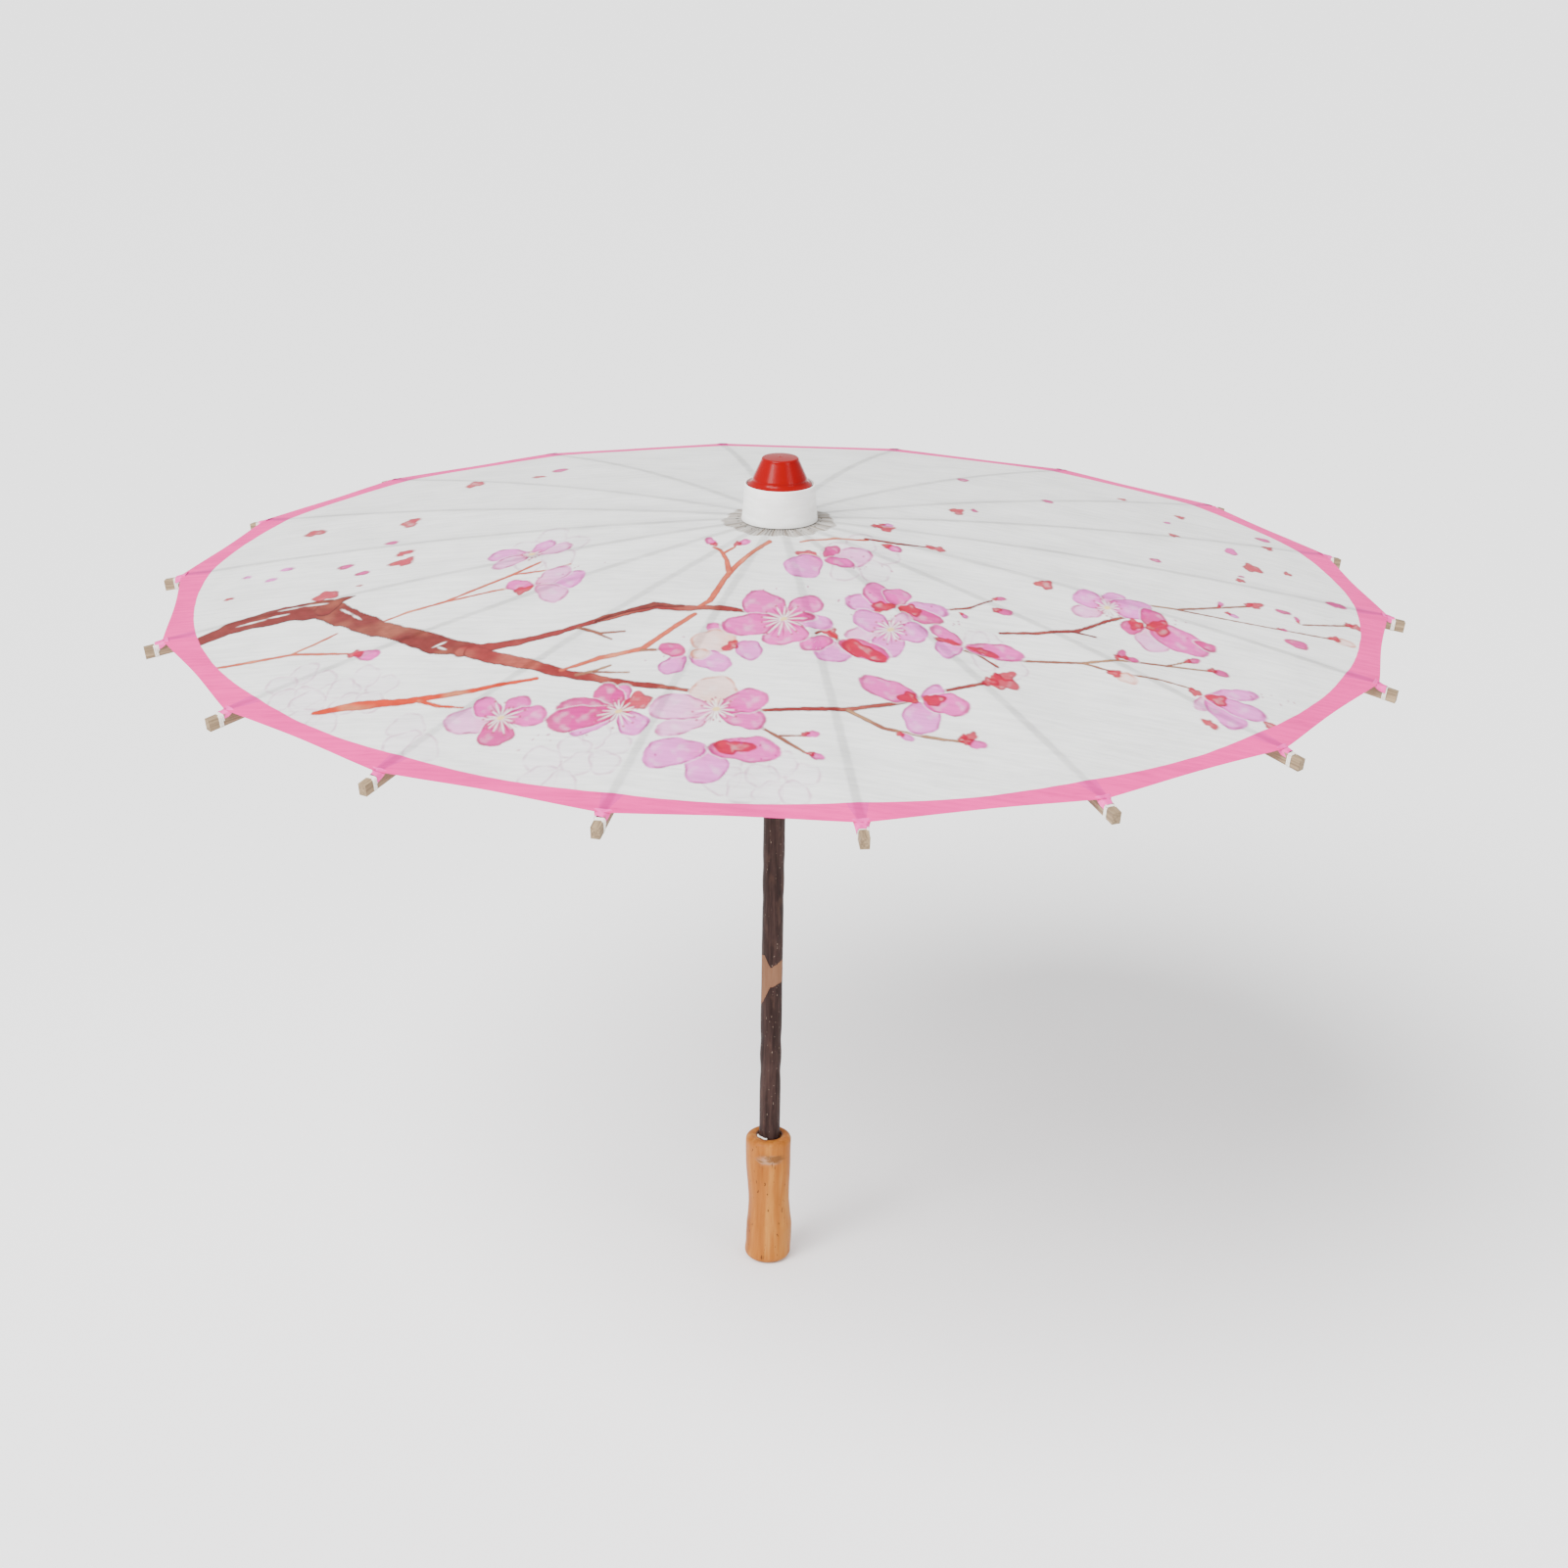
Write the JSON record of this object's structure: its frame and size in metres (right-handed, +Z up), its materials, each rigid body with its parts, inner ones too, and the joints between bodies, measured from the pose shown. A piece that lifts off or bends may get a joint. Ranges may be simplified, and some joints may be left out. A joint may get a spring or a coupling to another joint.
{
  "type": "oil paper umbrella",
  "caption": "Open oil paper umbrella: shallow ribbed paper canopy on a slim wooden shaft with a turned grip, folded by sliding the runner down.",
  "frame": {"origin": "middle of the handle's lower end", "axes": "+Z up along the shaft to the finial cap; rib_01 points along +X; the painted branch starts on the -X side"},
  "size_m": [0.84, 0.8282, 0.608],
  "materials": {
    "bamboo_rib": "planed bamboo, lightly oiled",
    "bamboo_stretcher": "planed bamboo, lightly oiled",
    "shaft_bark": "stripped sapling with dark bark left on, varnished",
    "handle_wood": "turned wood, clear varnish",
    "hub_wood": "sawn and turned wood, bare",
    "pin_bamboo": "bare bamboo",
    "thread": "waxed cotton thread",
    "oiled_paper": "tung-oiled paper, satin, painted blossom and a pink edge band",
    "collar_paper": "stiff glued paper, matt",
    "cap_plastic": "glossy red moulding",
    "spring_steel": "bent spring strip"
  },
  "bodies": {
    "root": {"shaft": "shaft_bark", "handle": "handle_wood", "top_hub": "hub_wood", "hub_pin": "pin_bamboo", "hub_thread": "thread", "finial_cap": "cap_plastic", "paper_collar": "collar_paper", "canopy": "oiled_paper"},
    "runner": {"runner": "hub_wood", "runner_thread": "thread"},
    "catch": {"runner_catch": "spring_steel"},
    "rib_01": {"rib_01": "bamboo_rib"},
    "stretcher_01": {"stretcher_01": "bamboo_stretcher"},
    "rib_02": {"rib_02": "bamboo_rib"},
    "stretcher_02": {"stretcher_02": "bamboo_stretcher"},
    "rib_03": {"rib_03": "bamboo_rib"},
    "stretcher_03": {"stretcher_03": "bamboo_stretcher"},
    "rib_04": {"rib_04": "bamboo_rib"},
    "stretcher_04": {"stretcher_04": "bamboo_stretcher"},
    "rib_05": {"rib_05": "bamboo_rib"},
    "stretcher_05": {"stretcher_05": "bamboo_stretcher"},
    "rib_06": {"rib_06": "bamboo_rib"},
    "stretcher_06": {"stretcher_06": "bamboo_stretcher"},
    "rib_07": {"rib_07": "bamboo_rib"},
    "stretcher_07": {"stretcher_07": "bamboo_stretcher"},
    "rib_08": {"rib_08": "bamboo_rib"},
    "stretcher_08": {"stretcher_08": "bamboo_stretcher"},
    "rib_09": {"rib_09": "bamboo_rib"},
    "stretcher_09": {"stretcher_09": "bamboo_stretcher"},
    "rib_10": {"rib_10": "bamboo_rib"},
    "stretcher_10": {"stretcher_10": "bamboo_stretcher"},
    "rib_11": {"rib_11": "bamboo_rib"},
    "stretcher_11": {"stretcher_11": "bamboo_stretcher"},
    "rib_12": {"rib_12": "bamboo_rib"},
    "stretcher_12": {"stretcher_12": "bamboo_stretcher"},
    "rib_13": {"rib_13": "bamboo_rib"},
    "stretcher_13": {"stretcher_13": "bamboo_stretcher"},
    "rib_14": {"rib_14": "bamboo_rib"},
    "stretcher_14": {"stretcher_14": "bamboo_stretcher"},
    "rib_15": {"rib_15": "bamboo_rib"},
    "stretcher_15": {"stretcher_15": "bamboo_stretcher"},
    "rib_16": {"rib_16": "bamboo_rib"},
    "stretcher_16": {"stretcher_16": "bamboo_stretcher"},
    "rib_17": {"rib_17": "bamboo_rib"},
    "stretcher_17": {"stretcher_17": "bamboo_stretcher"},
    "rib_18": {"rib_18": "bamboo_rib"},
    "stretcher_18": {"stretcher_18": "bamboo_stretcher"}
  },
  "joints": [
    {"name": "runner_slide", "type": "slide", "parent": "root", "child": "runner", "axis": [0, 0, -1], "range_m": [0, 0.28029], "deforming": ["canopy", "runner_catch"]},
    {"name": "catch_press", "type": "hinge", "parent": "root", "child": "catch", "pos_m": [0, -0.00475, 0.3835], "axis": [-1, 0, 0], "range_deg": [0, 8], "stiffness_Nm_per_rad": 0.12},
    {"name": "rib_01_hinge", "type": "hinge", "parent": "root", "child": "rib_01", "pos_m": [0.017, 0, 0.5605], "axis": [0, 1, 0], "range_deg": [0, 78.55]},
    {"name": "stretcher_01_hinge", "type": "hinge", "parent": "rib_01", "child": "stretcher_01", "pos_m": [0.20595, 0, 0.53977], "axis": [0, -1, 0], "range_deg": [0, 135.42]},
    {"name": "rib_02_hinge", "type": "hinge", "parent": "root", "child": "rib_02", "pos_m": [0.01597, 0.00581, 0.5605], "axis": [-0.342, 0.9397, 0], "range_deg": [0, 78.55]},
    {"name": "stretcher_02_hinge", "type": "hinge", "parent": "rib_02", "child": "stretcher_02", "pos_m": [0.19353, 0.07044, 0.53977], "axis": [0.342, -0.9397, 0], "range_deg": [0, 135.42]},
    {"name": "rib_03_hinge", "type": "hinge", "parent": "root", "child": "rib_03", "pos_m": [0.01302, 0.01093, 0.5605], "axis": [-0.6428, 0.766, 0], "range_deg": [0, 78.55]},
    {"name": "stretcher_03_hinge", "type": "hinge", "parent": "rib_03", "child": "stretcher_03", "pos_m": [0.15777, 0.13238, 0.53977], "axis": [0.6428, -0.766, 0], "range_deg": [0, 135.42]},
    {"name": "rib_04_hinge", "type": "hinge", "parent": "root", "child": "rib_04", "pos_m": [0.0085, 0.01472, 0.5605], "axis": [-0.866, 0.5, 0], "range_deg": [0, 78.55]},
    {"name": "stretcher_04_hinge", "type": "hinge", "parent": "rib_04", "child": "stretcher_04", "pos_m": [0.10298, 0.17836, 0.53977], "axis": [0.866, -0.5, 0], "range_deg": [0, 135.42]},
    {"name": "rib_05_hinge", "type": "hinge", "parent": "root", "child": "rib_05", "pos_m": [0.00295, 0.01674, 0.5605], "axis": [-0.9848, 0.1736, 0], "range_deg": [0, 78.55]},
    {"name": "stretcher_05_hinge", "type": "hinge", "parent": "rib_05", "child": "stretcher_05", "pos_m": [0.03576, 0.20283, 0.53977], "axis": [0.9848, -0.1736, 0], "range_deg": [0, 135.42]},
    {"name": "rib_06_hinge", "type": "hinge", "parent": "root", "child": "rib_06", "pos_m": [-0.00295, 0.01674, 0.5605], "axis": [-0.9848, -0.1736, 0], "range_deg": [0, 78.55]},
    {"name": "stretcher_06_hinge", "type": "hinge", "parent": "rib_06", "child": "stretcher_06", "pos_m": [-0.03576, 0.20283, 0.53977], "axis": [0.9848, 0.1736, 0], "range_deg": [0, 135.42]},
    {"name": "rib_07_hinge", "type": "hinge", "parent": "root", "child": "rib_07", "pos_m": [-0.0085, 0.01472, 0.5605], "axis": [-0.866, -0.5, 0], "range_deg": [0, 78.55]},
    {"name": "stretcher_07_hinge", "type": "hinge", "parent": "rib_07", "child": "stretcher_07", "pos_m": [-0.10298, 0.17836, 0.53977], "axis": [0.866, 0.5, 0], "range_deg": [0, 135.42]},
    {"name": "rib_08_hinge", "type": "hinge", "parent": "root", "child": "rib_08", "pos_m": [-0.01302, 0.01093, 0.5605], "axis": [-0.6428, -0.766, 0], "range_deg": [0, 78.55]},
    {"name": "stretcher_08_hinge", "type": "hinge", "parent": "rib_08", "child": "stretcher_08", "pos_m": [-0.15777, 0.13238, 0.53977], "axis": [0.6428, 0.766, 0], "range_deg": [0, 135.42]},
    {"name": "rib_09_hinge", "type": "hinge", "parent": "root", "child": "rib_09", "pos_m": [-0.01597, 0.00581, 0.5605], "axis": [-0.342, -0.9397, 0], "range_deg": [0, 78.55]},
    {"name": "stretcher_09_hinge", "type": "hinge", "parent": "rib_09", "child": "stretcher_09", "pos_m": [-0.19353, 0.07044, 0.53977], "axis": [0.342, 0.9397, 0], "range_deg": [0, 135.42]},
    {"name": "rib_10_hinge", "type": "hinge", "parent": "root", "child": "rib_10", "pos_m": [-0.017, 0, 0.5605], "axis": [0, -1, 0], "range_deg": [0, 78.55]},
    {"name": "stretcher_10_hinge", "type": "hinge", "parent": "rib_10", "child": "stretcher_10", "pos_m": [-0.20595, 0, 0.53977], "axis": [0, 1, 0], "range_deg": [0, 135.42]},
    {"name": "rib_11_hinge", "type": "hinge", "parent": "root", "child": "rib_11", "pos_m": [-0.01597, -0.00581, 0.5605], "axis": [0.342, -0.9397, 0], "range_deg": [0, 78.55]},
    {"name": "stretcher_11_hinge", "type": "hinge", "parent": "rib_11", "child": "stretcher_11", "pos_m": [-0.19353, -0.07044, 0.53977], "axis": [-0.342, 0.9397, 0], "range_deg": [0, 135.42]},
    {"name": "rib_12_hinge", "type": "hinge", "parent": "root", "child": "rib_12", "pos_m": [-0.01302, -0.01093, 0.5605], "axis": [0.6428, -0.766, 0], "range_deg": [0, 78.55]},
    {"name": "stretcher_12_hinge", "type": "hinge", "parent": "rib_12", "child": "stretcher_12", "pos_m": [-0.15777, -0.13238, 0.53977], "axis": [-0.6428, 0.766, 0], "range_deg": [0, 135.42]},
    {"name": "rib_13_hinge", "type": "hinge", "parent": "root", "child": "rib_13", "pos_m": [-0.0085, -0.01472, 0.5605], "axis": [0.866, -0.5, 0], "range_deg": [0, 78.55]},
    {"name": "stretcher_13_hinge", "type": "hinge", "parent": "rib_13", "child": "stretcher_13", "pos_m": [-0.10298, -0.17836, 0.53977], "axis": [-0.866, 0.5, 0], "range_deg": [0, 135.42]},
    {"name": "rib_14_hinge", "type": "hinge", "parent": "root", "child": "rib_14", "pos_m": [-0.00295, -0.01674, 0.5605], "axis": [0.9848, -0.1736, 0], "range_deg": [0, 78.55]},
    {"name": "stretcher_14_hinge", "type": "hinge", "parent": "rib_14", "child": "stretcher_14", "pos_m": [-0.03576, -0.20283, 0.53977], "axis": [-0.9848, 0.1736, 0], "range_deg": [0, 135.42]},
    {"name": "rib_15_hinge", "type": "hinge", "parent": "root", "child": "rib_15", "pos_m": [0.00295, -0.01674, 0.5605], "axis": [0.9848, 0.1736, 0], "range_deg": [0, 78.55]},
    {"name": "stretcher_15_hinge", "type": "hinge", "parent": "rib_15", "child": "stretcher_15", "pos_m": [0.03576, -0.20283, 0.53977], "axis": [-0.9848, -0.1736, 0], "range_deg": [0, 135.42]},
    {"name": "rib_16_hinge", "type": "hinge", "parent": "root", "child": "rib_16", "pos_m": [0.0085, -0.01472, 0.5605], "axis": [0.866, 0.5, 0], "range_deg": [0, 78.55]},
    {"name": "stretcher_16_hinge", "type": "hinge", "parent": "rib_16", "child": "stretcher_16", "pos_m": [0.10298, -0.17836, 0.53977], "axis": [-0.866, -0.5, 0], "range_deg": [0, 135.42]},
    {"name": "rib_17_hinge", "type": "hinge", "parent": "root", "child": "rib_17", "pos_m": [0.01302, -0.01093, 0.5605], "axis": [0.6428, 0.766, 0], "range_deg": [0, 78.55]},
    {"name": "stretcher_17_hinge", "type": "hinge", "parent": "rib_17", "child": "stretcher_17", "pos_m": [0.15777, -0.13238, 0.53977], "axis": [-0.6428, -0.766, 0], "range_deg": [0, 135.42]},
    {"name": "rib_18_hinge", "type": "hinge", "parent": "root", "child": "rib_18", "pos_m": [0.01597, -0.00581, 0.5605], "axis": [0.342, 0.9397, 0], "range_deg": [0, 78.55]},
    {"name": "stretcher_18_hinge", "type": "hinge", "parent": "rib_18", "child": "stretcher_18", "pos_m": [0.19353, -0.07044, 0.53977], "axis": [-0.342, -0.9397, 0], "range_deg": [0, 135.42]}
  ],
  "couplings": [
    {"joint": "rib_01_hinge", "follows": "runner_slide", "rad_per_m": 4.8881},
    {"joint": "stretcher_01_hinge", "follows": "runner_slide", "rad_per_m": 8.4296},
    {"joint": "rib_02_hinge", "follows": "runner_slide", "rad_per_m": 4.8881},
    {"joint": "stretcher_02_hinge", "follows": "runner_slide", "rad_per_m": 8.4296},
    {"joint": "rib_03_hinge", "follows": "runner_slide", "rad_per_m": 4.8881},
    {"joint": "stretcher_03_hinge", "follows": "runner_slide", "rad_per_m": 8.4296},
    {"joint": "rib_04_hinge", "follows": "runner_slide", "rad_per_m": 4.8881},
    {"joint": "stretcher_04_hinge", "follows": "runner_slide", "rad_per_m": 8.4296},
    {"joint": "rib_05_hinge", "follows": "runner_slide", "rad_per_m": 4.8881},
    {"joint": "stretcher_05_hinge", "follows": "runner_slide", "rad_per_m": 8.4296},
    {"joint": "rib_06_hinge", "follows": "runner_slide", "rad_per_m": 4.8881},
    {"joint": "stretcher_06_hinge", "follows": "runner_slide", "rad_per_m": 8.4296},
    {"joint": "rib_07_hinge", "follows": "runner_slide", "rad_per_m": 4.8881},
    {"joint": "stretcher_07_hinge", "follows": "runner_slide", "rad_per_m": 8.4296},
    {"joint": "rib_08_hinge", "follows": "runner_slide", "rad_per_m": 4.8881},
    {"joint": "stretcher_08_hinge", "follows": "runner_slide", "rad_per_m": 8.4296},
    {"joint": "rib_09_hinge", "follows": "runner_slide", "rad_per_m": 4.8881},
    {"joint": "stretcher_09_hinge", "follows": "runner_slide", "rad_per_m": 8.4296},
    {"joint": "rib_10_hinge", "follows": "runner_slide", "rad_per_m": 4.8881},
    {"joint": "stretcher_10_hinge", "follows": "runner_slide", "rad_per_m": 8.4296},
    {"joint": "rib_11_hinge", "follows": "runner_slide", "rad_per_m": 4.8881},
    {"joint": "stretcher_11_hinge", "follows": "runner_slide", "rad_per_m": 8.4296},
    {"joint": "rib_12_hinge", "follows": "runner_slide", "rad_per_m": 4.8881},
    {"joint": "stretcher_12_hinge", "follows": "runner_slide", "rad_per_m": 8.4296},
    {"joint": "rib_13_hinge", "follows": "runner_slide", "rad_per_m": 4.8881},
    {"joint": "stretcher_13_hinge", "follows": "runner_slide", "rad_per_m": 8.4296},
    {"joint": "rib_14_hinge", "follows": "runner_slide", "rad_per_m": 4.8881},
    {"joint": "stretcher_14_hinge", "follows": "runner_slide", "rad_per_m": 8.4296},
    {"joint": "rib_15_hinge", "follows": "runner_slide", "rad_per_m": 4.8881},
    {"joint": "stretcher_15_hinge", "follows": "runner_slide", "rad_per_m": 8.4296},
    {"joint": "rib_16_hinge", "follows": "runner_slide", "rad_per_m": 4.8881},
    {"joint": "stretcher_16_hinge", "follows": "runner_slide", "rad_per_m": 8.4296},
    {"joint": "rib_17_hinge", "follows": "runner_slide", "rad_per_m": 4.8881},
    {"joint": "stretcher_17_hinge", "follows": "runner_slide", "rad_per_m": 8.4296},
    {"joint": "rib_18_hinge", "follows": "runner_slide", "rad_per_m": 4.8881},
    {"joint": "stretcher_18_hinge", "follows": "runner_slide", "rad_per_m": 8.4296}
  ]
}
